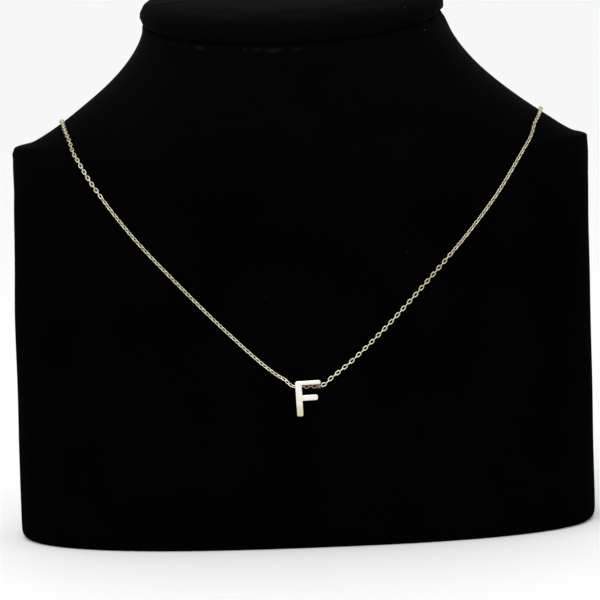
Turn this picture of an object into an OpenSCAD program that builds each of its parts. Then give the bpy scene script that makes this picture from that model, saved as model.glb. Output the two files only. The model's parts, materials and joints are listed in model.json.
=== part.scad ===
// Initial pendant necklace on a neck bust.
// Millimetres, Z up. The front of the bust looks along -Y and +X is on the viewer's right.
// The origin is on the surface that the bust stands on, under the middle of the neck.

/* [Bust] */
// Height of the bust at its sides, from the base to the foot of the collar
bust_h = 166; // [145:1:200]
// Half of the width at the shoulders and chest
bust_half_w = 96; // [84:1:115]
// Depth of the chest in front of the middle of the neck
chest_front = 49.5; // [42:0.5:60]
// Depth of the back behind the middle of the neck
chest_back = 32; // [26:0.5:50]
// Half of the width of the neck at the foot of the collar
neck_half_w = 50; // [42:0.5:60]
// Depth of the neck at the collar, in front of its middle
neck_front = 38; // [32:0.5:46]
// Depth of the neck at the collar, behind its middle
neck_back = 26; // [22:0.5:40]
// Forward slope of the top of the neck, in degrees
neck_slope = 15; // [0:1:18]
// Sideways slope of the top of the neck, down to the left, in degrees
neck_tilt = 0.7; // [0:0.1:2]
// Height of the short collar under the cap, at its sides
collar_h = 2.9; // [2.8:0.1:6]
// How far each side of the collar draws in towards the seam
collar_in = 0.7; // [0:0.1:1.5]
// How far the seam and the cap sit to the left
collar_left = 0.6; // [0:0.1:1]
// Radius of the edge round the base
base_edge_r = 2.5; // [2:0.5:8]
// Radius of the bust's edge at the seam
seam_edge_r = 1; // [0.5:0.25:2]

/* [Neck cap] */
// Height of the padded cap at its edge
cap_h = 8.4; // [7:0.1:12]
// Gap at the seam between the bust and its cap
seam_gap = 0.3; // [0.2:0.05:0.6]
// How far the padded side of the cap stands out
cap_bulge = 1.3; // [0:0.1:2]
// Height at which the cap is widest
cap_belly = 2.6; // [2:0.1:5]
// How far the foot of the cap draws in below its widest height
cap_foot_in = 2; // [0.5:0.1:3]
// How far the cap's upper rim draws in above its widest height
cap_rim_in = 8; // [4:0.5:12]
// Rise of the padded top towards its middle
cap_crown = 1.2; // [0:0.1:3]

/* [Letter] */
// Width of the letter
letter_w = 8.1; // [7:0.1:11]
// Height of the letter
letter_h = 11.7; // [10.5:0.1:14]
// Thickness of the letter
letter_t = 1.4; // [1.2:0.1:1.8]
// Width of the stem
stem_w = 2.1; // [1.6:0.1:2.4]
// Height of the top bar
top_bar_h = 1.4; // [1.2:0.1:1.8]
// Height of the middle bar
mid_bar_h = 1.9; // [1.4:0.1:2.2]
// How much shorter the middle bar is than the top bar
mid_bar_short = 1.15; // [0.5:0.05:2]
// Distance from the top of the letter down to the middle bar
mid_bar_drop = 4.7; // [4.5:0.05:5.5]
// Radius of the corners of the letter, seen from the front
letter_corner_r = 0.45; // [0.2:0.05:0.6]
// Radius of the long edges of the letter
letter_edge_r = 0.3; // [0.15:0.05:0.4]
// Turn of the letter to the left, seen from the front, in degrees
letter_turn = 1.5; // [0:0.5:3]
// Distance from the top of the letter down to the chain
letter_hang = 2.5; // [2.2:0.05:2.8]

/* [Loops] */
// Wall of the two loops on the back of the letter
loop_wall = 0.25; // [0.2:0.05:0.4]
// Width of a loop along the chain
loop_w = 1; // [0.6:0.1:1.2]
// Clearance round the chain in a loop
loop_clear = 0.1; // [0.1:0.05:0.3]
// Distance from the end of the top bar to the right loop
loop_inset = 0.1; // [0.1:0.05:0.6]
// How far a loop is soldered into the back of the letter
loop_sink = 0.2; // [0.1:0.05:0.25]
// Thickness of the strap that joins the right loop to the top bar
strap_t = 0.6; // [0.4:0.1:0.8]
// How far the strap reaches into the top bar
strap_sink = 0.4; // [0.3:0.1:0.6]

/* [Chain] */
// Diameter round the links of the cable chain
chain_d = 1.4; // [1:0.1:1.6]
// Gap between the chain and the velvet
lie_gap = 0.2; // [0.15:0.05:0.4]
// Gap between the letter or its loops and the velvet
rest_gap = 0.2; // [0.15:0.05:0.4]
// Straight run of the chain past each side of the letter
straight_run = 0.2; // [0.2:0.1:1]

/* [Clasp] */
// Outer diameter of the clasp's ring
clasp_d = 5.6; // [4.5:0.1:7]
// Diameter of the clasp's tube
clasp_wire = 1.1; // [0.9:0.1:1.3]
// Outer diameter of the small end loops of the clasp
clasp_eye_d = 2.2; // [1.8:0.1:2.8]
// Wire of the small end loops
clasp_eye_wire = 0.6; // [0.5:0.05:0.7]
// Gap between an end loop and the end of the chain
clasp_gap = 0.2; // [0.15:0.05:0.4]

/* [Hidden] */

velvet = "#0b0b0d";
pale_gold = "#d8c68a";

ring_sides = 72;    // points round each section of the bust
chain_sides = 8;    // points round the chain
chain_step = 6.5;   // length between two rings of the chain
form_step = 0.022;  // height between two rings of the bust, as a share of its height
end_step = 0.003;   // height between two rings at the ends of the shoulders, likewise
ends_from = 0.758;  // from this height, as a share of the bust's
ends_to = 0.794;    // up to this height
end_power = 12;     // how narrow a flared end is, seen from above
edge_steps = 3;     // rings in a rounded edge
collar_steps = 2;   // rings up the collar
pad_steps = 5;      // rings in the foot and in the rim of the cap
rim_turn = 87;      // turn of the rim, so that it runs on into the cap's crown
crown_steps = 4;    // rings across the padded top of the cap
round_fn = 48;      // steps in a full turn of the round pieces
crown_end = 0.07;   // size of the small flat in the middle of the cap's top, as a share
bore_past = 0.5;    // how far a loop's bore is cut past its faces

// Small steps that measure a slope of the bust, in degrees and in shares of its height,
// and the direction of the chain, in shares of the way between two route points
turn_step = 0.5;
share_step = 0.001;
way_step = 0.01;

// Sections of the bust. Height is a share of bust_h. Width, front and back run from
// 0, the neck at the collar, to 1, the chest. Square is the power of the section's outline,
// 2 for an ellipse. Slope and tilt are the shares of neck_slope and neck_tilt that it has.
HEIGHT = 0; WIDTH = 1; FRONT = 2; BACK = 3; SQUARE = 4; SLOPE = 5; TILT = 6;
SECTIONS = [
    [0.000, 1.000,  0.80,  0.75, 2.50, 0.00, 0.00],
    [0.200, 1.000,  1.00,  1.00, 2.50, 0.00, 0.00],
    [0.420, 1.000,  1.00,  1.00, 2.45, 0.00, 0.00],
    [0.620, 1.000,  0.74,  0.49, 2.40, 0.02, 0.00],
    [0.710, 0.995,  0.49,  0.02, 2.35, 0.08, 0.00],
    [0.755, 0.949,  0.34, -0.19, 2.30, 0.14, 0.00],
    [0.780, 0.835,  0.26, -0.31, 2.28, 0.20, 0.00],
    [0.800, 0.732,  0.20, -0.35, 2.25, 0.24, 0.00],
    [0.820, 0.623,  0.13, -0.40, 2.22, 0.29, 0.00],
    [0.850, 0.475,  0.03, -0.45, 2.18, 0.38, 0.00],
    [0.895, 0.273, -0.06, -0.40, 2.12, 0.54, 0.10],
    [0.935, 0.135, -0.08, -0.26, 2.06, 0.70, 0.40],
    [0.980, 0.026, -0.03, -0.06, 2.01, 0.86, 0.85],
    [1.000, 0.000,  0.00,  0.00, 2.00, 0.90, 1.00],
];

// Flared ends of the shoulders: height as a share of bust_h, and how far the left and the
// right end stand out from the section there, as shares of the width from neck to side
SHOULDER_ENDS = [
    [0.0000,  0.030, -0.040],
    [0.4500,  0.005, -0.030],
    [0.6200, -0.020, -0.020],
    [0.7100, -0.028, -0.009],
    [0.7550,  0.017,  0.035],
    [0.7630,  0.050,  0.067],
    [0.7665,  0.070,  0.069],
    [0.7680,  0.076,  0.035],
    [0.7705,  0.085,  0.013],
    [0.7735,  0.098,  0.007],
    [0.7790,  0.121,  0.002],
    [0.7825,  0.109, -0.002],
    [0.7845,  0.077, -0.004],
    [0.7865,  0.038, -0.006],
    [0.7900,  0.029, -0.005],
    [0.8000,  0.013, -0.004],
    [0.8100,  0.000,  0.000],
];

// Route of the chain over the bust: the angle round the form from the front, and the
// height as a share of bust_h. It runs from the clasp round the left to the letter, and
// from the letter round the right back to the clasp.
LEFT_ROUTE = [
    [-165, 0.852], [-150, 0.846], [-135, 0.834], [-127, 0.827], [-120, 0.820],
    [-112, 0.815], [-105, 0.815], [-98, 0.819], [-91, 0.824], [-83, 0.826], [-76, 0.822],
    [-68, 0.813], [-61, 0.802], [-55, 0.788], [-50, 0.772], [-46, 0.757], [-42, 0.728],
    [-38, 0.691], [-30, 0.612], [-20, 0.516], [-10, 0.412], [-5, 0.356], [-2.5, 0.329],
];
RIGHT_ROUTE = [
    [2.5, 0.330], [5, 0.356], [10, 0.409], [20, 0.511], [30, 0.604], [37, 0.669],
    [42, 0.717], [46, 0.745], [50, 0.764], [55, 0.778], [60, 0.791], [70, 0.806],
    [77, 0.812], [82, 0.814], [88, 0.815], [94, 0.812], [100, 0.807], [106, 0.803],
    [120, 0.808], [127, 0.818], [135, 0.827], [150, 0.843], [165, 0.851],
];
letter_share = 0.315;   // height of the chain behind the letter, as a share of bust_h
clasp_share = 0.853;    // height of the clasp, as a share of bust_h

// A smooth curve through one column of SECTIONS, with no overshoot
function rise(k, i) =
    (SECTIONS[i + 1][k] - SECTIONS[i][k]) / (SECTIONS[i + 1][HEIGHT] - SECTIONS[i][HEIGHT]);
function knot_slope(k, i) =
    i == 0 || i == len(SECTIONS) - 1 ? 0 :
    let (a = rise(k, i - 1), b = rise(k, i))
    a * b <= 0 ? 0 : 2 * a * b / (a + b);
function section_below(s) =
    max([for (i = [0 : len(SECTIONS) - 2]) if (i == 0 || s >= SECTIONS[i][HEIGHT]) i]);
function column_at(k, s) =
    let (i = section_below(s),
         h = SECTIONS[i + 1][HEIGHT] - SECTIONS[i][HEIGHT],
         t = min(1, max(0, (s - SECTIONS[i][HEIGHT]) / h)))
    SECTIONS[i][k] * (1 + 2 * t) * pow(1 - t, 2)
    + knot_slope(k, i) * h * t * pow(1 - t, 2)
    + SECTIONS[i + 1][k] * t * t * (3 - 2 * t)
    + knot_slope(k, i + 1) * h * t * t * (t - 1);

// A section as [half width, front depth, back depth, power, slope, tilt, middle], grown
// outwards by grow
function section_at(s, grow) = [
    neck_half_w + column_at(WIDTH, s) * (bust_half_w - neck_half_w) + grow,
    neck_front + column_at(FRONT, s) * (chest_front - neck_front) + grow,
    neck_back + column_at(BACK, s) * (chest_back - neck_back) + grow,
    column_at(SQUARE, s),
    column_at(SLOPE, s) * tan(neck_slope),
    column_at(TILT, s) * tan(neck_tilt),
    0,
];

// A section at a share of the collar's height, which ends with the full slope
function collar_at(t, grow) =
    let (c = section_at(1, grow))
    [c[0] - collar_in * t, c[1], c[2], c[3], c[4] * (1 - t) + tan(neck_slope) * t, c[5],
     -collar_left * t];

function signed_pow(v, e) = sign(v) * pow(abs(v), e);
function outline_point(c, angle, z) =
    let (x = c[6] + c[0] * signed_pow(sin(angle), 2 / c[3]),
         y = -(cos(angle) >= 0 ? c[1] : c[2]) * signed_pow(cos(angle), 2 / c[3]))
    [x, y, z + c[4] * y + c[5] * x];
function end_out(angle, s) =
    let (side = sin(angle) < 0 ? 1 : 2)
    [sign(sin(angle)) * pow(abs(sin(angle)), end_power) * (bust_half_w - neck_half_w)
        * lookup(s, [for (row = SHOULDER_ENDS) [row[0], row[side]]]), 0, 0];
function form_point(angle, s) =
    outline_point(section_at(s, 0), angle, s * bust_h) + end_out(angle, s);

// A point at a distance off the bust, straight out from its surface
function unit(v) = v / norm(v);
function off_form(angle, s, off) =
    let (across = form_point(angle + turn_step, s) - form_point(angle - turn_step, s),
         up = form_point(angle, s + share_step) - form_point(angle, s - share_step))
    form_point(angle, s) + off * unit(cross(across, up));

// Chain, loops and letter
chain_r = chain_d / 2;
loop_bore_r = chain_r + loop_clear;
loop_r = loop_bore_r + loop_wall;
axis_off = loop_r + rest_gap;              // from the velvet to the chain behind the letter
axis_y = -(section_at(letter_share, 0)[1] + axis_off);
axis_z = letter_share * bust_h;
letter_back = loop_r - loop_sink;          // from the chain forward to the letter's back
letter_below = letter_h - letter_hang;     // from the chain down to the foot of the letter
// The letter leans back until its foot comes to the velvet
letter_lean = atan(letter_back / letter_below)
    + asin((axis_off - rest_gap) / norm([letter_back, letter_below]));
left_loop_x = -(letter_w - stem_w) / 2;
right_loop_x = letter_w / 2 - loop_inset - loop_w / 2;
straight_half = letter_w / 2 + straight_run;

// Clasp
clasp_ring_r = (clasp_d - clasp_wire) / 2;
eye_ring_r = (clasp_eye_d - clasp_eye_wire) / 2;
eye_x = (clasp_d + clasp_eye_d) / 2 - clasp_eye_wire;
chain_end_x = eye_x + clasp_eye_d / 2 + clasp_gap;
clasp_at = off_form(180, clasp_share, clasp_wire / 2 + lie_gap);
chain_end = off_form(180, clasp_share, chain_r + lie_gap);

// A closed solid through rings that all have the same number of points
module loft(rings) {
    n = len(rings[0]);
    last = (len(rings) - 1) * n;
    polyhedron(
        points = [for (ring = rings) each ring],
        faces = [
            [for (j = [0 : n - 1]) j],
            for (i = [0 : len(rings) - 2], j = [0 : n - 1])
                let (k = (j + 1) % n)
                [i * n + j, (i + 1) * n + j, (i + 1) * n + k, i * n + k],
            [for (j = [n - 1 : -1 : 0]) last + j],
        ],
        convexity = 6
    );
}

// Angles of a ring's points, from the back round the front to the back
ring_angles = [for (j = [0 : ring_sides - 1]) j * 360 / ring_sides - 180];

function form_ring(z, inset) =
    let (c = section_at(z / bust_h, -inset))
    [for (a = ring_angles) outline_point(c, a, z) + end_out(a, z / bust_h)];

// A ring of the collar, at a height above its foot
function collar_ring(up, inset) =
    let (c = collar_at(min(1, up / (collar_h - seam_edge_r)), -inset))
    [for (a = ring_angles) outline_point(c, a, bust_h + up)];

module bust_form() {
    side_h = bust_h - base_edge_r;
    side_steps = round(side_h / (form_step * bust_h));
    ends_low = ends_from * bust_h;
    ends_high = ends_to * bust_h;
    apart = end_step * bust_h / 2;
    even = [for (i = [0 : side_steps]) base_edge_r + side_h * i / side_steps];
    close = [for (i = [0 : round((ends_to - ends_from) / end_step)])
        ends_low + end_step * bust_h * i];
    heights = concat(
        [for (z = even) if (z < ends_low - apart) z],
        close,
        [for (z = even) if (z > ends_high + apart) z]
    );
    color(velvet) loft([
        for (i = [0 : edge_steps - 1])
            let (a = 90 * i / edge_steps)
            form_ring(base_edge_r * (1 - cos(a)), base_edge_r * (1 - sin(a))),
        for (z = heights)
            form_ring(z, 0),
        for (i = [1 : collar_steps])
            collar_ring((collar_h - seam_edge_r) * i / collar_steps, 0),
        for (i = [1 : edge_steps])
            let (a = 90 * i / edge_steps)
            collar_ring(collar_h - seam_edge_r * (1 - sin(a)), seam_edge_r * (1 - cos(a))),
    ]);
}

// A ring of the cap: up from the seam, grown outwards, and drawn in by a factor
function cap_ring(up, grow, factor = 1) =
    let (c = collar_at(1, grow),
         drawn = [c[0] * factor, c[1] * factor, c[2] * factor, c[3], c[4], c[5], c[6]])
    [for (a = ring_angles) outline_point(drawn, a, bust_h + collar_h + seam_gap + up)];

module neck_cap() {
    rim_h = cap_h - cap_belly;
    top = cap_belly + rim_h * sin(rim_turn);
    inner = cap_bulge - cap_rim_in * (1 - cos(rim_turn));
    color(velvet) loft([
        for (i = [0 : pad_steps - 1])
            let (a = 90 * i / pad_steps)
            cap_ring(cap_belly * (1 - cos(a)), cap_bulge - cap_foot_in * (1 - sin(a))),
        for (i = [0 : pad_steps])
            let (a = rim_turn * i / pad_steps)
            cap_ring(cap_belly + rim_h * sin(a), cap_bulge - cap_rim_in * (1 - cos(a))),
        for (i = [1 : crown_steps])
            let (t = (1 - crown_end) * i / crown_steps)
            cap_ring(top + cap_crown * t * (2 - t), inner, 1 - t),
    ]);
}

// A rectangle with round corners, from the origin
module rounded_rect(w, h, r) {
    translate([0, r]) square([w, h - 2 * r]);
    translate([r, 0]) square([w - 2 * r, h]);
    for (x = [r, w - r], y = [r, h - r])
        translate([x, y]) circle(r, $fn = round_fn);
}

// A bar of the letter with every edge rounded. Its back is the plane y = 0.
module soft_bar(w, h) {
    intersection() {
        rotate([90, 0, 0]) linear_extrude(letter_t) rounded_rect(w, h, letter_corner_r);
        translate([0, -letter_t, 0]) linear_extrude(h) rounded_rect(w, letter_t, letter_edge_r);
        rotate([90, 0, 90]) linear_extrude(w)
            translate([-letter_t, 0]) rounded_rect(letter_t, h, letter_edge_r);
    }
}

// One soldered loop, with the chain's line through its middle along X.
// The strap joins a loop to a bar that lies above it.
module loop(strap_up) {
    difference() {
        union() {
            rotate([0, 90, 0]) cylinder(h = loop_w, r = loop_r, center = true, $fn = round_fn);
            if (strap_up > 0)
                rotate([-atan(strap_up / letter_back), 0, 0])
                    translate([-loop_w / 2, -norm([strap_up, letter_back]) - strap_sink, -strap_t / 2])
                        cube([loop_w, norm([strap_up, letter_back]) + strap_sink, strap_t]);
        }
        rotate([0, 90, 0])
            cylinder(h = loop_w + 2 * bore_past, r = loop_bore_r, center = true, $fn = round_fn);
    }
}

module letter_f() {
    color(pale_gold)
    translate([0, axis_y, axis_z]) rotate([0, -letter_turn, 0]) rotate([letter_lean, 0, 0]) {
        translate([-letter_w / 2, -letter_back, 0]) {
            translate([0, 0, letter_hang - letter_h]) soft_bar(stem_w, letter_h);
            translate([0, 0, letter_hang - top_bar_h]) soft_bar(letter_w, top_bar_h);
            translate([0, 0, letter_hang - mid_bar_drop - mid_bar_h])
                soft_bar(letter_w - mid_bar_short, mid_bar_h);
        }
        translate([left_loop_x, 0, 0]) loop(0);
        translate([right_loop_x, 0, 0]) loop(letter_hang - top_bar_h);
    }
}

// The chain's line behind the letter, at a distance along it from the letter's middle
function line_point(x) = [x * cos(letter_turn), axis_y, axis_z + x * sin(letter_turn)];

CHAIN_ROUTE = [
    [-chain_end_x, chain_end[1], chain_end[2]],
    for (p = LEFT_ROUTE) off_form(p[0], p[1], chain_r + lie_gap),
    for (x = [-straight_half, -letter_w / 2, letter_w / 2, straight_half]) line_point(x),
    for (p = RIGHT_ROUTE) off_form(p[0], p[1], chain_r + lie_gap),
    [chain_end_x, chain_end[1], chain_end[2]],
];

// Direction of the route at one of its points
function route_dir(i) =
    i == 0 ? unit(CHAIN_ROUTE[1] - CHAIN_ROUTE[0]) :
    i == len(CHAIN_ROUTE) - 1 ? unit(CHAIN_ROUTE[i] - CHAIN_ROUTE[i - 1]) :
    let (before = CHAIN_ROUTE[i] - CHAIN_ROUTE[i - 1],
         after = CHAIN_ROUTE[i + 1] - CHAIN_ROUTE[i])
    unit(before / pow(norm(before), 2) + after / pow(norm(after), 2));

// A point on the smooth curve between route points i and i + 1, and the direction there
function curve_point(i, t) =
    let (a = CHAIN_ROUTE[i], b = CHAIN_ROUTE[i + 1], d = norm(b - a))
    a * (1 + 2 * t) * pow(1 - t, 2) + b * t * t * (3 - 2 * t)
    + route_dir(i) * d * t * pow(1 - t, 2) + route_dir(i + 1) * d * t * t * (t - 1);
function curve_dir(i, t) =
    unit(curve_point(i, min(1, t + way_step)) - curve_point(i, max(0, t - way_step)));

// A round section of the chain, square to its direction
function chain_ring(p, dir) =
    let (out = unit([p[0] * pow(chest_front / bust_half_w, 2), p[1], 0]),
         side = unit(cross(dir, out)),
         lift = cross(side, dir))
    [for (j = [0 : chain_sides - 1])
        let (a = 360 * j / chain_sides)
        p + chain_r * (cos(a) * lift + sin(a) * side)];

module chain() {
    last = len(CHAIN_ROUTE) - 1;
    color(pale_gold) loft([
        for (i = [0 : last - 1])
            let (steps = max(1, round(norm(CHAIN_ROUTE[i + 1] - CHAIN_ROUTE[i]) / chain_step)))
            for (k = [0 : steps - 1])
                chain_ring(curve_point(i, k / steps), k == 0 ? route_dir(i) : curve_dir(i, k / steps)),
        chain_ring(CHAIN_ROUTE[last], route_dir(last)),
    ]);
}

// A ring of round wire that stands in the X and Z plane
module wire_ring(ring_r, wire) {
    rotate([90, 0, 0])
        rotate_extrude($fn = round_fn) translate([ring_r, 0]) circle(d = wire, $fn = round_fn);
}

module clasp() {
    color(pale_gold) translate(clasp_at) {
        wire_ring(clasp_ring_r, clasp_wire);
        for (x = [-eye_x, eye_x]) translate([x, 0, 0]) wire_ring(eye_ring_r, clasp_eye_wire);
    }
}

bust_form();
neck_cap();
letter_f();
chain();
clasp();
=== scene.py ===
# %% [markdown]
# A small gold letter is threaded on a fine cable chain, and the chain lies round a neck bust
# that is covered in black velvet. This script dresses the part's solids, so the lesson starts
# with them: each new piece is built round a solid, or is made from a merged copy of it, and
# nothing has to be fitted by eye. Sizes below are in millimetres and are turned into metres
# with MM, because the scene itself is in metres.

# %% Load the solids
import bisect
import json
import math
import random

import bmesh
import bpy
from mathutils import Matrix, Vector, noise
from mathutils.bvhtree import BVHTree
from mathutils.geometry import interpolate_bezier


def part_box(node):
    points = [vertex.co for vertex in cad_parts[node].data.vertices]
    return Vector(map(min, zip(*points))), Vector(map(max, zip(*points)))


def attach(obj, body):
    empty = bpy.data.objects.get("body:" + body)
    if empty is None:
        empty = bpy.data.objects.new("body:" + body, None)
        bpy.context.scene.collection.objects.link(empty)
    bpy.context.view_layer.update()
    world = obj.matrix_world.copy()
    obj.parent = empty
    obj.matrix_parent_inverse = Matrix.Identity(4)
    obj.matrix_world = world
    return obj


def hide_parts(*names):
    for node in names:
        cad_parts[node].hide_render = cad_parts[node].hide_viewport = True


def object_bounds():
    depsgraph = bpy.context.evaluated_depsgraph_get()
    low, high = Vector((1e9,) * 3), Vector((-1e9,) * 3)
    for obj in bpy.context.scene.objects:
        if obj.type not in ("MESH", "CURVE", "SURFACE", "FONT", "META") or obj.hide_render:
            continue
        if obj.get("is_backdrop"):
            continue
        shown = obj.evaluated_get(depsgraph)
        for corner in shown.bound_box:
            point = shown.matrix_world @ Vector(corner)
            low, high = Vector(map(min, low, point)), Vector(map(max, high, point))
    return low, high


MM = 0.001
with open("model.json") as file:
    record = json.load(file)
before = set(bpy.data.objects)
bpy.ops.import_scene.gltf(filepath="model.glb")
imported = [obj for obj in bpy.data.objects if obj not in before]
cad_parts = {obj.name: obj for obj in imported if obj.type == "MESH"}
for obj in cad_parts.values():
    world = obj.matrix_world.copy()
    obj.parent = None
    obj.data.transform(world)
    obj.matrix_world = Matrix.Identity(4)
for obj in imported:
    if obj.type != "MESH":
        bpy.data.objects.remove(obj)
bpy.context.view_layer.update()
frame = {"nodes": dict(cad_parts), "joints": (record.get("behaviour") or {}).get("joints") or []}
nodes = frame["nodes"]

# %% [markdown]
# The camera comes first, so that every later choice can be judged in the right picture. The
# photo was taken from far away with a long lens, almost level with the chest, and the camera
# was held a little crooked. A lens of 144 mm on a 36 mm sensor at 0.8 m gives that flat view.

# %% Camera
AIM = Vector((-1.5, 0, 75)) * MM
CAMERA_AWAY = 800 * MM
LOOK_DOWN = math.radians(5)
CAMERA_ROLL = math.radians(2.2)
LENS = 144

camera = bpy.data.objects.new("camera", bpy.data.cameras.new("camera"))
bpy.context.scene.collection.objects.link(camera)
bpy.context.scene.camera = camera
turn = Matrix.Rotation(math.pi / 2 - LOOK_DOWN, 4, "X") @ Matrix.Rotation(-CAMERA_ROLL, 4, "Z")
camera.matrix_world = Matrix.Translation(AIM) @ turn @ Matrix.Translation((0, 0, CAMERA_AWAY))
camera.data.lens = LENS
camera.data.clip_start = 10 * MM
print("camera at, mm:", [round(c / MM) for c in camera.matrix_world.translation])

# %% [markdown]
# Every finished piece goes through one small function. It turns a bmesh into an object at the
# origin, gives it its material, and lets it ride on a body of the part. The body "display" is
# the bust with the chain on it, and the body "pendant" is the letter, which can swing.

# %% Make a piece from a bmesh


def finished(name, shape, material, body, replaced):
    """An object with the mesh of shape, smooth, riding on body and standing for a solid."""
    mesh = bpy.data.meshes.new(name)
    shape.to_mesh(mesh)
    shape.free()
    mesh.shade_smooth()
    mesh.materials.append(material)
    piece = bpy.data.objects.new(name, mesh)
    bpy.context.scene.collection.objects.link(piece)
    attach(piece, body)
    if replaced:
        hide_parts(replaced)
    print(name, "has", len(mesh.polygons), "faces")
    return piece


# %% [markdown]
# Velvet is a dense pile of fine upright threads. Light that falls straight on it is swallowed
# between them, so the front is almost black, and light that skims over it catches the tips, so
# the turn of the neck looks paler. The base colour is therefore very dark and fully rough, and
# the pale edge is the shader's sheen, which grows with height because the pile was brushed
# downwards on the chest and stands up on the neck. On top of the cap the pile lies flatter and
# paler, with a clear edge round it. Nodes add what makes cloth look real: patches where the
# pile leans another way, the grain of the pile as bump, and the fine and the few larger specks
# of lint that black velvet always collects. Under the seam a painted highlight, a paler colour
# on the tops of small folds, stands for the light that the crushed pile there catches.

# %% Helpers that add and wire shader nodes


def feed(tree, node, inputs):
    """Give each named input of a node its value, or wire it to an output socket."""
    for name, value in inputs.items():
        if isinstance(value, bpy.types.NodeSocket):
            tree.links.new(value, node.inputs[name])
        else:
            node.inputs[name].default_value = value


def add_node(tree, kind, inputs, **settings):
    """The outputs of a new node of that kind, with its inputs fed."""
    node = tree.nodes.new("ShaderNode" + kind)
    for name, value in settings.items():
        setattr(node, name, value)
    feed(tree, node, inputs)
    return node.outputs


def reckoned(tree, operation, a, b=0.0):
    """The result of a sum with one or two numbers."""
    return add_node(tree, "Math", {0: a, 1: b}, operation=operation)[0]


def measured(tree, operation, place, vector):
    """The number that a place and a vector give, such as how far apart they are."""
    return add_node(tree, "VectorMath", {0: place, 1: vector}, operation=operation)["Value"]


def mapped(tree, value, start, end, low=0.0, high=1.0):
    """A number that runs from low to high while value runs from start to end."""
    ends = {"Value": value, "From Min": start, "From Max": end, "To Min": low, "To Max": high}
    return add_node(tree, "MapRange", ends)[0]


def mixed(tree, share, under, over, blend="MIX"):
    """A colour with a share of another one over it."""
    inputs = {"Fac": share, "Color1": under, "Color2": over}
    return add_node(tree, "MixRGB", inputs, blend_type=blend)[0]


def two_tones(tree, value, ends, tones):
    """A colour that runs from one tone to the other while value runs between two ends."""
    node = tree.nodes.new("ShaderNodeValToRGB")
    feed(tree, node, {"Fac": value})
    for stop, end, tone in zip(node.color_ramp.elements, ends, tones):
        stop.position = end
        stop.color = tone
    return node.outputs[0]


def cloudy(tree, place, scale, detail):
    """A soft noise over a place."""
    return add_node(tree, "TexNoise", {"Vector": place, "Scale": scale, "Detail": detail})[0]


def bumped(tree, height, strength, deep, **under):
    """A bump of that depth in millimetres."""
    inputs = {"Height": height, "Strength": strength, "Distance": deep * MM, **under}
    return add_node(tree, "Bump", inputs)[0]


def new_material(name):
    """An empty material with its node tree, its shader and its object coordinates."""
    material = bpy.data.materials.new(name)
    material.use_nodes = True
    tree = material.node_tree
    place = add_node(tree, "TexCoord", {})["Object"]
    return material, tree, tree.nodes["Principled BSDF"], place


# %% Black velvet: the tones of the pile
VELVET_TONES = ((0.00035, 0.00035, 0.00036, 1), (0.0011, 0.0011, 0.0011, 1))
VELVET_ENDS = (0.12, 0.42)
PATCH_SCALE = 28
GRAIN_SCALE = 2200

velvet, tree, shader, place = new_material("black_velvet")
axes = add_node(tree, "SeparateXYZ", {"Vector": place})
patches = cloudy(tree, place, PATCH_SCALE, 4)
grain = cloudy(tree, place, GRAIN_SCALE, 2)
mottle = reckoned(tree, "MULTIPLY", patches, grain)
colour = two_tones(tree, mottle, VELVET_ENDS, VELVET_TONES)
print("nodes of the pile:", len(tree.nodes))

# %% The seam between the neck and its cap, which slopes to the front and a little to the left
NECK_SLOPE = math.tan(math.radians(15))
NECK_TILT = math.tan(math.radians(0.7))
SEAM_UP = 169.0


def above_seam(point):
    """How far a point lies above the seam between the neck and its cap, in millimetres."""
    return (point.z - NECK_SLOPE * point.y - NECK_TILT * point.x) / MM - SEAM_UP


to_seam = measured(tree, "DOT_PRODUCT", place, (-NECK_TILT, -NECK_SLOPE, 1))
print("the world's origin lies below the seam by, mm:", -above_seam(Vector()))

# %% Painted highlight under the seam, on the tops of small folds, in front, on two stretches
# The colour and the band of a painted highlight on the tops of small folds under the seam
FOLD_HIGHLIGHT = (0.006, 0.006, 0.0058, 1)
FOLD_HIGHLIGHT_FOOT = 2.4
FOLD_HIGHLIGHT_TOP = 1.1
FOLD_HIGHLIGHT_END = 0.8
FOLD_HIGHLIGHT_AT = [
    # x and half length in millimetres
    (-8.5, 11.5),
    (-34, 6),
]
FOLD_HIGHLIGHT_FULL = 0.6
FOLD_SCALE = (300, 300, 700)
FOLD_TOPS = (0.43, 0.60)

stretches = 0.0
for x, half in FOLD_HIGHLIGHT_AT:
    away = reckoned(tree, "ABSOLUTE", reckoned(tree, "SUBTRACT", axes["X"], x * MM))
    near = mapped(tree, away, half * MM, FOLD_HIGHLIGHT_FULL * half * MM)
    stretches = reckoned(tree, "ADD", near, stretches)
drawn_out = add_node(tree, "Mapping", {"Vector": place, "Scale": FOLD_SCALE})[0]
fold_highlight = mapped(tree, to_seam, (SEAM_UP - FOLD_HIGHLIGHT_FOOT) * MM, (SEAM_UP - FOLD_HIGHLIGHT_TOP) * MM)
for share in (
    mapped(tree, cloudy(tree, drawn_out, 1, 3), *FOLD_TOPS),
    reckoned(tree, "LESS_THAN", to_seam, (SEAM_UP - FOLD_HIGHLIGHT_END) * MM),
    reckoned(tree, "LESS_THAN", axes["Y"], 0),
    stretches,
):
    fold_highlight = reckoned(tree, "MULTIPLY", fold_highlight, share)
# The painted highlight is mixed into the velvet's colour
colour = mixed(tree, fold_highlight, colour, FOLD_HIGHLIGHT)
print("crushed stretches:", len(FOLD_HIGHLIGHT_AT))

# %% Lint: a fine speck in some cells of a Voronoi pattern, and a few larger specks by place
LINT = (0.012, 0.012, 0.012, 1)
LINT_CELLS = 90
LINT_FEW = 0.55
LINT_R = 0.018
LARGE_LINT = (0.045, 0.045, 0.043, 1)
LARGE_LINT_R = 0.24
LARGE_LINT_AT = [
    # x, y and z in millimetres
    (42.0, -20.3, 162.4),
    (-4.9, -25.0, 171.7),
    (35.7, -23.9, 169.8),
    (-47.3, -9.3, 166.0),
]

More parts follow.
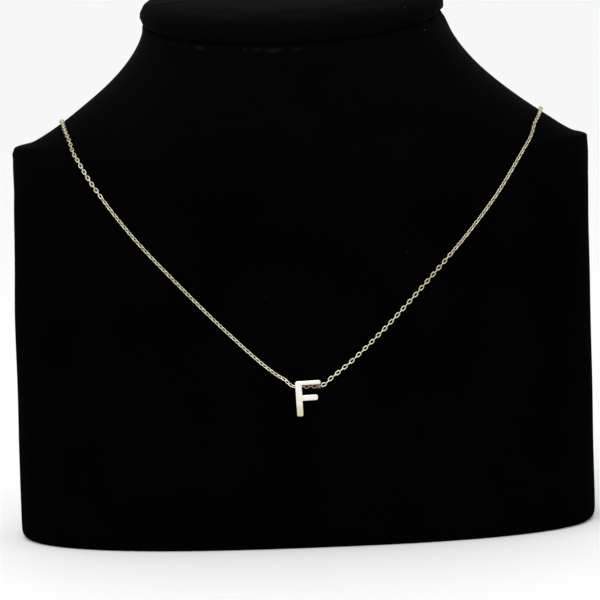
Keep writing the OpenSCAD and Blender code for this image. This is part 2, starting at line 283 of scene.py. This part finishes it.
cells = add_node(tree, "TexVoronoi", {"Vector": place, "Scale": LINT_CELLS})
few = add_node(tree, "SeparateColor", {"Color": cells["Color"]})[0]
speck = reckoned(tree, "LESS_THAN", cells["Distance"], LINT_R)
lint = reckoned(tree, "MULTIPLY", reckoned(tree, "GREATER_THAN", few, LINT_FEW), speck)
colour = mixed(tree, lint, colour, LINT)
for speck_place in LARGE_LINT_AT:
    away = measured(tree, "DISTANCE", place, Vector(speck_place) * MM)
    near = reckoned(tree, "LESS_THAN", away, LARGE_LINT_R * MM)
    colour = mixed(tree, near, colour, LARGE_LINT)
print("larger specks of lint:", len(LARGE_LINT_AT))

# %% The sheen, gloss and bump of the velvet
CHEST_Z = 110
CAP_Z = 172
CAP_EDGE_UP = 7.5
CAP_EDGE_SOFT = 0.6
CAP_SHEEN = (0.85, 1.25)
SHEEN = (0.0012, 0.010)
SHEEN_ROUGH = 0.35
SHEEN_TINT = (0.9, 0.9, 0.88, 1)
GLOSS = (0.002, 0.02)
VELVET_ROUGH = (0.85, 1.0)
GRAIN_DEEP = 0.12
GRAIN_STRENGTH = 0.35

height = mapped(tree, axes["Z"], CHEST_Z * MM, CAP_Z * MM)
cap_edge = (SEAM_UP + CAP_EDGE_UP) * MM
lying = mapped(tree, to_seam, cap_edge, cap_edge + CAP_EDGE_SOFT * MM, *CAP_SHEEN)
velvet_inputs = {
    "Base Color": colour,
    "Roughness": mapped(tree, patches, 0, 1, *VELVET_ROUGH),
    "Normal": bumped(tree, grain, GRAIN_STRENGTH, GRAIN_DEEP),
    "Specular IOR Level": mapped(tree, height, 0, 1, *GLOSS),
    "Sheen Weight": reckoned(tree, "MULTIPLY", mapped(tree, height, 0, 1, *SHEEN), lying),
    "Sheen Roughness": SHEEN_ROUGH,
    "Sheen Tint": SHEEN_TINT,
}
feed(tree, shader, velvet_inputs)
print("nodes of the whole velvet:", len(tree.nodes))

# %% [markdown]
# The letter, its loops and the chain have one pale gold plating in three states. The letter is
# polished, so it mirrors the pale table in front of the bust, with soft wavy unevenness and
# hair lines from polishing. The loops are dull, and their dark brown colour is painted shade,
# because they sit in the shadow of the letter. The chain's wire is drawn, bent and tumbled, so
# it is duller than the letter, and its tone wanders between yellow and olive from link to link.
# Zones say where a tone turns: each is a vector operation on the place, with its start and end
# in millimetres and a tint. On the letter a painted reflection makes the foot greener and
# darker, the right end of the top bar is rosier, and a darker tint on the upper rim is a painted
# reflection of the black bust. The chain's colour is darker up the chest, painted shade darkens
# it to the right, and the links behind the letter get a painted shadow that takes most of their
# gold tone away.

# %% Pale gold, polished, soldered and drawn
GOLD_ENDS = (0.35, 0.65)
HAIR_SCALE = (9000, 9000, 900)
WAVE_SCALE = 500


def gold_plate(name, deep, pale, patch_scale, roughness, wave, zones, hair=0.0004):
    """A gold material that wanders between two tones, with zones, and wavy and hair line bump."""
    material, tree, shader, place = new_material(name)
    tone = two_tones(tree, cloudy(tree, place, patch_scale, 2), GOLD_ENDS, (deep, pale))
    for operation, vector, begin, full, tint in zones:
        share = mapped(tree, measured(tree, operation, place, vector), begin * MM, full * MM)
        tone = mixed(tree, share, tone, tint, "MULTIPLY")
    drawn_out = add_node(tree, "Mapping", {"Vector": place, "Scale": HAIR_SCALE})[0]
    lines = cloudy(tree, drawn_out, 1, 3)
    wavy = bumped(tree, cloudy(tree, place, WAVE_SCALE, 1), 1, wave)
    lined = bumped(tree, lines, 1, hair, Normal=wavy)
    rough = mapped(tree, lines, 0, 1, *roughness)
    feed(tree, shader, {"Base Color": tone, "Roughness": rough, "Normal": lined, "Metallic": 1})
    return material


polished_gold = gold_plate(
    "polished_gold",
    deep=(0.81, 0.80, 0.68, 1),
    pale=(0.87, 0.86, 0.80, 1),
    patch_scale=350,
    roughness=(0.14, 0.24),
    wave=0.004,
    zones=(
        # painted reflection: greener and darker towards the foot
        ("DOT_PRODUCT", (0, 0, 1), 47.0, 45.5, (0.79, 0.79, 0.62, 1)),
        ("DOT_PRODUCT", (1, 0, 1), 56.0, 58.5, (1.0, 0.88, 0.94, 1)),
        # painted reflection of the black bust: darker on the upper rim
        ("DOT_PRODUCT", (-0.026, 0, 1), 54.0, 54.3, (0.72, 0.66, 0.74, 1)),
    ),
)
# The loops' dark brown colour is painted shade, for they sit in the shadow of the letter.
shaded_loop_gold = gold_plate(
    "shaded_loop_gold",
    deep=(0.20, 0.16, 0.13, 1),
    pale=(0.34, 0.29, 0.25, 1),
    patch_scale=700,
    roughness=(0.30, 0.45),
    wave=0.006,
    zones=(),
)
chain_gold = gold_plate(
    "chain_gold",
    deep=(0.79, 0.76, 0.52, 1),
    pale=(0.94, 0.91, 0.75, 1),
    patch_scale=420,
    roughness=(0.24, 0.40),
    wave=0.002,
    zones=(
        ("DOT_PRODUCT", (0, 0, 1), 55, 85, (0.72, 0.70, 0.66, 1)),
        # painted shade: darker to the right
        ("DOT_PRODUCT", (1, 0, 0), 20, 60, (0.92, 0.92, 0.91, 1)),
        # painted shadow of the letter on the links behind it
        ("DISTANCE", Vector((0.9, -50.75, 52.3)) * MM, 3.1, 2.4, (0.52, 0.36, 0.30, 1)),
    ),
)
print("gold materials:", [gold.name for gold in (polished_gold, shaded_loop_gold, chain_gold)])

# %% [markdown]
# The bust is a rigid form with velvet stretched over it. Its solid already has the right form,
# made of loose triangles, so a copy is merged and its triangles are joined back into the grid
# of rings. A Subdivision Surface makes that grid smooth, and then each point moves a little
# along its normal: outwards by the thickness of the pile, and up and down by a slow noise,
# because stretched cloth over foam is never quite even. Near the seam small pleats rise too.

# %% A smooth copy of a solid
MERGE = 0.005 * MM
FLAT = math.radians(1)
JOIN_WITHIN = math.radians(60)


def scratch_piece(shape):
    """An object that holds a bmesh for a modifier to work on."""
    piece = bpy.data.objects.new("scratch", bpy.data.meshes.new("scratch"))
    shape.to_mesh(piece.data)
    shape.free()
    bpy.context.scene.collection.objects.link(piece)
    return piece


def applied(piece):
    """A bmesh of an object with its modifiers applied. The object is removed."""
    graph = bpy.context.evaluated_depsgraph_get()
    shape = bmesh.new()
    shape.from_mesh(piece.evaluated_get(graph).to_mesh())
    bpy.data.objects.remove(piece)
    return shape


def subdivided(shape, levels):
    """The same form with its faces divided and smoothed that many times."""
    piece = scratch_piece(shape)
    subdivision = piece.modifiers.new("smooth", "SUBSURF")
    subdivision.levels = levels
    subdivision.render_levels = levels
    return applied(piece)


def merged_copy(node):
    """A bmesh of a solid's mesh, with its doubles merged."""
    shape = bmesh.new()
    shape.from_mesh(nodes[node].data)
    bmesh.ops.remove_doubles(shape, verts=shape.verts, dist=MERGE)
    return shape


def smooth_copy(node, levels):
    """A bmesh of a solid as a smooth grid of quads, with its flat ends held by a narrow rim."""
    shape = merged_copy(node)
    level = [f for f in shape.faces if abs(f.normal.z) > math.cos(FLAT)]
    bmesh.ops.dissolve_faces(shape, faces=level)
    bmesh.ops.join_triangles(
        shape,
        faces=[f for f in shape.faces if len(f.verts) == 3],
        angle_face_threshold=JOIN_WITHIN,
        angle_shape_threshold=JOIN_WITHIN,
    )
    for end in [f for f in shape.faces if len(f.verts) > 4]:
        rim = min(edge.calc_length() for edge in end.edges)
        bmesh.ops.inset_individual(shape, faces=[end], thickness=rim / 2)
    return subdivided(shape, levels)


# %% The velvet over the bust
PILE = 0.15
SLOW_WAVE = 0.25
SLOW_LENGTH = 26
CALM_FOOT = 20
GATHER = 0.45
GATHER_WIDE = 4.2
GATHER_LONG = 9
GATHER_FADE = 3
GATHER_END = 15


def uneven(point, length, height):
    """A smooth noise of that wave length and height, in metres."""
    return noise.noise(point / (length * MM)) * height * MM


def gathered(point):
    """The rise of the small pleats that run away from the seam and fade out."""
    away = abs(above_seam(point))
    if away > GATHER_END:
        return 0
    flat = Vector((point.x / GATHER_WIDE, point.y / GATHER_WIDE, point.z / GATHER_LONG)) / MM
    return noise.noise(flat) * GATHER * MM * math.exp(-away / GATHER_FADE)


velvet_bust = smooth_copy("bust_form", 2)
velvet_bust.normal_update()
for vert in velvet_bust.verts:
    calm = min(1, vert.co.z / (CALM_FOOT * MM))
    lift = PILE * MM + uneven(vert.co, SLOW_LENGTH, SLOW_WAVE) * calm
    vert.co += vert.normal * (lift + gathered(vert.co))
bust = finished("bust_form_velvet", velvet_bust, velvet, "display", "bust_form")

# %% [markdown]
# The cap is a foam pad under stretched velvet, so it is blown up as cloth. Its solid is shrunk a
# little, remeshed into even squares and given a Cloth modifier with pressure and no gravity.
# Twenty frames are enough for it to fill. No point may move further than a short reach, and
# the underside and the edge at the seam are held, so the pad stays in the space of its solid.
# The small pleats at the seam come after that, because remeshing would take them away.

# %% The padded cap
CAP_VOXEL = 1.7
CAP_SHRINK = 0.25
CAP_PRESSURE = 4
CAP_FRAMES = 20
CAP_REACH = 0.3
CAP_HELD_UP = 1.6
CAP_WAVE = 0.1
CAP_WAVE_LENGTH = 14


def remeshed(shape, voxel):
    """The same form in even squares of that size."""
    piece = scratch_piece(shape)
    remesh = piece.modifiers.new("remesh", "REMESH")
    remesh.mode = "VOXEL"
    remesh.voxel_size = voxel * MM
    return applied(piece)


def blown_up(shape, held, pressure, frames, reach):
    """The form after a short cloth simulation, with the held points left where they were."""
    shape.verts.ensure_lookup_table()
    before = [vert.co.copy() for vert in shape.verts]
    keep = [vert.index for vert in shape.verts if held(vert)]
    piece = scratch_piece(shape)
    piece.vertex_groups.new(name="held").add(keep, 1.0, "REPLACE")
    cloth = piece.modifiers.new("cloth", "CLOTH")
    cloth.settings.use_pressure = True
    cloth.settings.uniform_pressure_force = pressure
    cloth.settings.effector_weights.gravity = 0
    cloth.settings.vertex_group_mass = "held"
    cloth.point_cache.frame_end = frames
    for step in range(1, frames + 1):
        bpy.context.scene.frame_set(step)
    puffed = applied(piece)
    bpy.context.scene.frame_set(1)
    moved = []
    for vert, start in zip(puffed.verts, before):
        way = vert.co - start
        moved.append(min(way.length, reach * MM))
        vert.co = start + way.normalized() * moved[-1]
    print("the pad's points moved by up to, mm:", round(max(moved) / MM, 2))
    return puffed


cap_shape = remeshed(merged_copy("neck_cap"), CAP_VOXEL)
cap_shape.normal_update()
for vert in cap_shape.verts:
    vert.co -= vert.normal * CAP_SHRINK * MM
cap_shape = blown_up(
    cap_shape, lambda v: above_seam(v.co) < CAP_HELD_UP, CAP_PRESSURE, CAP_FRAMES, CAP_REACH
)
velvet_cap = subdivided(cap_shape, 1)
velvet_cap.normal_update()
for vert in velvet_cap.verts:
    vert.co += vert.normal * (uneven(vert.co, CAP_WAVE_LENGTH, CAP_WAVE) + gathered(vert.co))
cap = finished("neck_cap_velvet", velvet_cap, velvet, "display", "neck_cap")

# %% [markdown]
# The letter is cast in one piece and polished until its edges are soft. A face with the ten
# corners of the letter is rounded at its corners, extruded to the letter's thickness and
# bevelled round its rims. The hinge line of the body "pendant" is the chain behind the letter,
# so the letter is drawn round that line and then leaned back until its foot meets the velvet.

# %% The letter's outline
LETTER_W = 8.1
LETTER_H = 11.7
LETTER_T = 1.4
STEM_W = 2.1
TOP_BAR_H = 1.4
MID_BAR_H = 1.9
MID_BAR_SHORT = 1.15
MID_BAR_DROP = 4.7
LETTER_TURN = 1.5
LETTER_LEAN = 11.80
LETTER_HANG = 2.5
LETTER_BACK = 0.85
OUTER_CORNER = 0.6
INNER_CORNER = 0.22
RIM_ROUND = 0.3

swing = frame["joints"][0]
pendant_place = (
    Matrix.Translation(swing["pos_m"])
    @ Matrix.Rotation(math.radians(-LETTER_TURN), 4, "Y")
    @ Matrix.Rotation(math.radians(LETTER_LEAN), 4, "X")
    @ Matrix.Scale(MM, 4)
)


def letter_corners():
    """The ten corners of the letter, seen from the front, from the foot of the stem."""
    left = -LETTER_W / 2
    stem = left + STEM_W
    right = LETTER_W / 2
    top = LETTER_HANG
    bar_top = top - MID_BAR_DROP
    bar_foot = bar_top - MID_BAR_H
    foot = top - LETTER_H
    return [
        (left, foot),
        (stem, foot),
        (stem, bar_foot),
        (right - MID_BAR_SHORT, bar_foot),
        (right - MID_BAR_SHORT, bar_top),
        (stem, bar_top),
        (stem, top - TOP_BAR_H),
        (right, top - TOP_BAR_H),
        (right, top),
        (left, top),
    ]


INNER = {2, 5, 6}
print("letter, mm:", LETTER_W, "by", LETTER_H, "by", LETTER_T)

# %% The letter's body
letter = bmesh.new()
front = -LETTER_BACK - LETTER_T
corners = [letter.verts.new((x, front, z)) for x, z in letter_corners()]
letter.faces.new(corners)
for chosen, size in (
    ([v for k, v in enumerate(corners) if k not in INNER], OUTER_CORNER),
    ([v for k, v in enumerate(corners) if k in INNER], INNER_CORNER),
):
    bmesh.ops.bevel(
        letter, geom=chosen, offset=size, segments=5, profile=0.5, affect="VERTICES", material=-1
    )
raised = bmesh.ops.extrude_face_region(letter, geom=list(letter.faces))
back_verts = [v for v in raised["geom"] if isinstance(v, bmesh.types.BMVert)]
bmesh.ops.translate(letter, verts=back_verts, vec=(0, LETTER_T, 0))
bmesh.ops.recalc_face_normals(letter, faces=letter.faces)
rims = [e for e in letter.edges if abs(e.verts[0].co.y - e.verts[1].co.y) < MERGE]
bmesh.ops.bevel(
    letter, geom=rims, offset=RIM_ROUND, segments=5, profile=0.5, affect="EDGES", material=-1
)
bmesh.ops.transform(letter, verts=letter.verts, matrix=pendant_place)
finished(
    "letter_f_polished", letter, polished_gold, "pendant", "letter_f"
)

# %% [markdown]
# Two small loops are soldered on the back of the letter, and the chain runs through them. Each
# is the outline of a band, spun once round the chain's line. The right loop sits lower than the
# top bar that carries it, so a short strap joins the two.

# %% The two loops on the back
LOOP_R = 1.05
LOOP_WALL = 0.25
LOOP_W = 1.0
LOOP_INSET = 0.6
LOOP_STEPS = 40
STRAP_T = 0.6
STRAP_SINK = 0.4
STRAP_UP = LETTER_HANG - TOP_BAR_H
LOOPS_X = (-(LETTER_W - STEM_W) / 2, LETTER_W / 2 - LOOP_INSET)


def add_band(shape, x):
    """A round band whose middle is the chain's line at x."""
    middle = LOOP_R - LOOP_WALL / 2
    made = bmesh.ops.create_grid(shape, x_segments=1, y_segments=1, size=0.5)
    section = made["verts"]
    bmesh.ops.scale(shape, verts=section, vec=(LOOP_W, LOOP_WALL, 1))
    bmesh.ops.translate(shape, verts=section, vec=(x, middle, 0))
    outline = [edge for edge in shape.edges if edge.verts[0] in section]
    bmesh.ops.delete(shape, geom=list(section[0].link_faces), context="FACES_ONLY")
    bmesh.ops.spin(
        shape,
        geom=section + outline,
        cent=(x, 0, 0),
        axis=(1, 0, 0),
        angle=2 * math.pi,
        steps=LOOP_STEPS,
        use_merge=True,
    )


def add_strap(shape, x):
    """A flat strap from a loop up into the top bar."""
    made = bmesh.ops.create_cube(shape, size=1)
    reach = math.hypot(STRAP_UP, LETTER_BACK) + STRAP_SINK
    tilt = -math.atan2(STRAP_UP, LETTER_BACK)
    bmesh.ops.scale(shape, verts=made["verts"], vec=(LOOP_W, reach, STRAP_T))
    bmesh.ops.translate(shape, verts=made["verts"], vec=(0, -reach / 2 - LOOP_R + LOOP_WALL, 0))
    bmesh.ops.rotate(
        shape, verts=made["verts"], cent=(0, 0, 0), matrix=Matrix.Rotation(tilt, 3, "X")
    )
    bmesh.ops.translate(shape, verts=made["verts"], vec=(x, 0, 0))


loops = bmesh.new()
for x in LOOPS_X:
    add_band(loops, x)
add_strap(loops, LOOPS_X[1])
bmesh.ops.remove_doubles(loops, verts=loops.verts, dist=MERGE)
bmesh.ops.recalc_face_normals(loops, faces=loops.faces)
bmesh.ops.transform(loops, verts=loops.verts, matrix=pendant_place)
finished("letter_f_loops", loops, shaded_loop_gold, "pendant", "letter_f")

# %% [markdown]
# The chain is a cable chain: each link is an oval of round wire that stands square to its
# neighbours and passes through both. The solid for it is a plain tube, and the tube knows the
# way: walking from one end ring to the next gives the line that the links follow. One link is
# made once, by spinning a circle and drawing the two halves of the ring apart.

# %% The line of the chain
TUBE_SIDES = 8
ROUTE_STEPS = 16


def chain_line():
    """The middles of the rings of the chain's tube, from its left end round to its right."""
    tube = merged_copy("chain")
    tube.verts.index_update()
    back = [v for v in tube.verts if v.co.x < 0 and v.co.y > 0]
    ring = sorted(back, key=lambda v: v.co.x)[-TUBE_SIDES:]
    seen = set()
    line = []
    while ring:
        line.append(sum((v.co for v in ring), Vector()) / len(ring))
        seen.update(ring)
        ahead = {e.other_vert(v) for v in ring for e in v.link_edges} - seen
        ring = sorted(ahead, key=lambda v: v.index)
    tube.free()
    return line


def fine_line(line, steps):
    """A smooth curve through those points, with that many steps between two of them."""
    ahead = [b - a for a, b in zip(line, line[1:])]
    ways = [ahead[0]]
    ways += [(a / a.length_squared + b / b.length_squared) for a, b in zip(ahead, ahead[1:])]
    ways.append(ahead[-1])
    fine = []
    for k, step in enumerate(ahead):
        handle = step.length / 3
        before = line[k] + ways[k].normalized() * handle
        after = line[k + 1] - ways[k + 1].normalized() * handle
        fine += interpolate_bezier(line[k], before, after, line[k + 1], steps + 1)[:-1]
    return fine + [line[-1]]


route = fine_line(chain_line(), ROUTE_STEPS)
reach = [0.0]
for a, b in zip(route, route[1:]):
    reach.append(reach[-1] + (b - a).length)
print("chain between the clasp's loops, mm:", round(reach[-1] / MM, 1))

# %% One link
WIRE = 0.34
LINK_LEN = 2.14
LINK_W = 1.34
RING_STEPS = 12
WIRE_SIDES = 6

link = bmesh.new()
ring_r = (LINK_W - WIRE) / 2
first = math.pi / RING_STEPS
made = bmesh.ops.create_circle(link, segments=WIRE_SIDES, radius=WIRE / 2)
upright = Matrix.Rotation(first, 4, "Z") @ Matrix.Translation((ring_r, 0, 0)) @ Matrix.Rotation(
    math.pi / 2, 4, "X"
)
bmesh.ops.transform(link, verts=made["verts"], matrix=upright)
bmesh.ops.spin(
    link,
    geom=list(link.verts) + list(link.edges),
    cent=(0, 0, 0),
    axis=(0, 0, 1),
    angle=2 * math.pi,
    steps=RING_STEPS,
    use_merge=True,
)
for vert in link.verts:
    outward = vert.co.x / math.hypot(vert.co.x, vert.co.y)
    vert.co.x += math.copysign(math.sqrt(abs(outward)), outward) * (LINK_LEN - LINK_W) / 2
bmesh.ops.recalc_face_normals(link, faces=link.faces)
bmesh.ops.scale(link, verts=link.verts, vec=(MM, MM, MM))
link_mesh = bpy.data.meshes.new("link")
link.to_mesh(link_mesh)
link.free()
print("a link has", len(link_mesh.polygons), "faces")

# %% [markdown]
# Beside and behind the letter the line bends up and down a little, by a first table. The links
# are laid out along it from the letter to both sides, so that a link faces the front in the gap
# under the top bar. The distance from link to link comes from a table by height: high on the
# chest, which leans back from the viewer, the links lie closer together, and behind the letter
# they are crowded. The number of links that fit between the line's start and each of its points
# turns that table into places. A chain also turns about its own line as it lies, and a third
# table says how far, seen from the front: at 0 every other link shows its whole oval, and at 45
# each link shows half of it, like a rope. The next link always stands a quarter turn further.
# On the shoulders and behind the neck the chain's upright is no longer the viewer's way but the
# way out of the velvet.

# %% How the line bends beside and behind the letter
SAG = [
    # x in millimetres, how far the line is moved up
    (-9.5, 0.0),
    (-7.0, 0.3),
    (-5.6, 0.35),
    (-4.4, 0.1),
    (-2.6, 0.0),
    (1.0, -0.15),
    (3.4, -0.1),
    (4.8, 0.05),
    (8.5, 0.0),
]


def in_table(rows, value):
    """The second column of a table at a value of the first, with smooth steps between."""
    if value <= rows[0][0]:
        return rows[0][1]
    for (a, low), (b, high) in zip(rows, rows[1:]):
        if value <= b:
            share = (value - a) / (b - a)
            return low + (high - low) * share * share * (3 - 2 * share)
    return rows[-1][1]


for k, point in enumerate(route):
    if point.y < 0:
        route[k] = point + Vector((0, 0, in_table(SAG, point.x / MM) * MM))
print("the line bends down by at most, mm:", -min(up for x, up in SAG))

# %% How many links fit along the line
PITCHES = [
    # z in millimetres, the distance from link to link
    (53.2, 1.44),
    (76.0, 1.43),
    (85.0, 1.395),
    (95.0, 1.34),
    (104.0, 1.305),
    (115.0, 1.28),
    (124.0, 1.25),
    (132.0, 1.40),
    (138.0, 1.44),
]
PITCH_BEHIND = 1.44
CROWDED_X = (-5.5, 2.0)
CROWDED_PITCH = 1.26
END_OVER = 0.22


def pitch_at(point):
    """The distance from link to link at a point of the line, in millimetres."""
    if point.y > 0:
        return PITCH_BEHIND
    if CROWDED_X[0] < point.x / MM < CROWDED_X[1]:
        return CROWDED_PITCH
    return in_table(PITCHES, point.z / MM)


# The number of links between the line's start and each of its points
tally = [-END_OVER / PITCH_BEHIND]
for a, b in zip(route, route[1:]):
    tally.append(tally[-1] + (b - a).length / (pitch_at(a) * MM))
tally_end = tally[-1] - END_OVER / PITCH_BEHIND
print("links that fit:", round(tally_end, 1))


def at_tally(count):
    """The point of the line that many links along it, and the direction there."""
    k = min(bisect.bisect_left(tally, count, 1), len(tally) - 1) - 1
    share = (count - tally[k]) / (tally[k + 1] - tally[k])
    return route[k].lerp(route[k + 1], share), (route[k + 1] - route[k]).normalized()


# %% The place of each link, from the letter to both sides
LETTER_LINK_X = -0.45
NEAR_LETTER = 6

front_part = [k for k, p in enumerate(route) if p.y < 0 and abs(p.x) < NEAR_LETTER * MM]
letter_tally = tally[min(front_part, key=lambda k: abs(route[k].x - LETTER_LINK_X * MM))]
places = [letter_tally]
for side, span in ((-1, letter_tally), (1, tally_end - letter_tally)):
    count = 2 * round(span / 2)
    print("links on one side:", count, "drawn out by:", round(span / count, 3))
    places += [letter_tally + side * k * span / count for k in range(1, count + 1)]
places.sort()
nearest = places.index(letter_tally)

# %% Turn and lay the links
ROLLS = [
    # x in millimetres, roll in degrees
    (-81.0, 45),
    (-79.5, 10),
    (-65.0, 5),
    (-61.5, 45),
    (-5.0, 45),
    (-3.0, 0),
    (44.0, 0),
    (48.0, 45),
    (80.0, 45),
]
BACK_ROLL = 45
ROLL_JITTER = 2
VIEWER = Vector((0, -math.cos(LOOK_DOWN), math.sin(LOOK_DOWN)))
TURN_FROM = -8
TURN_TO = 8
random.seed(4)

ground = BVHTree.FromObject(bust, bpy.context.evaluated_depsgraph_get())
links = bmesh.new()
for index, count in enumerate(places):
    point, along = at_tally(count)
    behind = in_table([(TURN_FROM, 0), (TURN_TO, 1)], point.y / MM)
    up = VIEWER.lerp(ground.find_nearest(point)[1], behind)
    across = along.cross(up).normalized()
    up = across.cross(along)
    roll = BACK_ROLL if behind > 0.5 else in_table(ROLLS, point.x / MM)
    roll += random.uniform(-ROLL_JITTER, ROLL_JITTER)
    if (index - nearest) % 2:
        roll += 90
    axes = Matrix((along, across, up)).transposed().to_4x4()
    placed = Matrix.Translation(point) @ axes @ Matrix.Rotation(math.radians(roll), 4, "X")
    one = link_mesh.copy()
    one.transform(placed)
    links.from_mesh(one)
    bpy.data.meshes.remove(one)
print("links in all:", len(places))
finished("chain_links", links, chain_gold, "display", "chain")

# %% [markdown]
# The clasp is out of sight at the back of the neck, so it is plain: a ring of tube with a small
# loop at each end, in which the last links of the chain hang. Three circles are spun.

# %% The clasp
CLASP_D = 5.6
CLASP_TUBE = 1.1
EYE_D = 2.2
EYE_WIRE = 0.6
EYE_X = (CLASP_D + EYE_D) / 2 - EYE_WIRE
CLASP_FINE = {"steps": 48, "sides": 16}
EYE_FINE = {"steps": 28, "sides": 12}
low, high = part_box("clasp")
clasp_middle = (low + high) / 2


def add_ring(shape, x, outer, wire, steps, sides):
    """A ring of round wire that stands in the X and Z plane, with its middle at x."""
    made = bmesh.ops.create_circle(shape, segments=sides, radius=wire / 2)
    start = Matrix.Translation((x + (outer - wire) / 2, 0, 0))
    bmesh.ops.transform(shape, verts=made["verts"], matrix=start)
    edges = [edge for edge in shape.edges if edge.verts[0] in made["verts"]]
    bmesh.ops.spin(
        shape,
        geom=made["verts"] + edges,
        cent=(x, 0, 0),
        axis=(0, 1, 0),
        angle=2 * math.pi,
        steps=steps,
        use_merge=True,
    )


clasp = bmesh.new()
add_ring(clasp, 0, CLASP_D, CLASP_TUBE, **CLASP_FINE)
for x in (-EYE_X, EYE_X):
    add_ring(clasp, x, EYE_D, EYE_WIRE, **EYE_FINE)
bmesh.ops.recalc_face_normals(clasp, faces=clasp.faces)
bmesh.ops.transform(
    clasp, verts=clasp.verts, matrix=Matrix.Translation(clasp_middle) @ Matrix.Scale(MM, 4)
)
finished("clasp_ring", clasp, chain_gold, "display", "clasp")

# %% [markdown]
# The floor is a wide pale sheet, and the world is the same pale tone, so the two run into each
# other without a horizon. A large soft light above the front is the studio's soft box. It also
# brightens the table ahead of the bust, which is what the polished letter mirrors.

# %% Floor, world and lights
FLOOR_SIZE = 6
FLOOR_TONE = (0.82, 0.82, 0.82, 1)
FLOOR_ROUGH = 0.7
WORLD_TONE = (1, 1, 1, 1)
WORLD_STRENGTH = 0.93
SUN_AIM = Vector((0.06, 0.45, -1))
SUN_SPREAD = math.radians(60)
SUN_STRENGTH = 0.75
SOFT_BOX_PLACE = Vector((-0.25, -0.75, 1.0))
SOFT_BOX_SIZE = 0.9
SOFT_BOX_WATTS = 5

floor_shape = bmesh.new()
bmesh.ops.create_grid(floor_shape, x_segments=1, y_segments=1, size=FLOOR_SIZE)
floor_mesh = bpy.data.meshes.new("floor")
floor_shape.to_mesh(floor_mesh)
floor_shape.free()
floor = bpy.data.objects.new("floor", floor_mesh)
bpy.context.scene.collection.objects.link(floor)
floor_paint, tree, shader, place = new_material("pale_floor")
feed(tree, shader, {"Base Color": FLOOR_TONE, "Roughness": FLOOR_ROUGH})
floor_mesh.materials.append(floor_paint)
floor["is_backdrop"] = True

world = bpy.data.worlds.new("studio")
bpy.context.scene.world = world
world.use_nodes = True
sky = {"Color": WORLD_TONE, "Strength": WORLD_STRENGTH}
feed(world.node_tree, world.node_tree.nodes["Background"], sky)
bpy.context.scene.view_settings.view_transform = "Standard"

light = bpy.data.objects.new("soft_sun", bpy.data.lights.new("soft_sun", "SUN"))
light.data.angle = SUN_SPREAD
light.data.energy = SUN_STRENGTH
light.rotation_euler = SUN_AIM.to_track_quat("-Z", "Y").to_euler()
bpy.context.scene.collection.objects.link(light)

light = bpy.data.objects.new("soft_box", bpy.data.lights.new("soft_box", "AREA"))
light.data.size = SOFT_BOX_SIZE
light.data.energy = SOFT_BOX_WATTS
light.location = SOFT_BOX_PLACE
light.rotation_euler = (AIM - SOFT_BOX_PLACE).to_track_quat("-Z", "Y").to_euler()
bpy.context.scene.collection.objects.link(light)

# %% Write the sizes and finish
low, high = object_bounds()
print("dressed part, mm:", [round(side / MM, 1) for side in high - low])
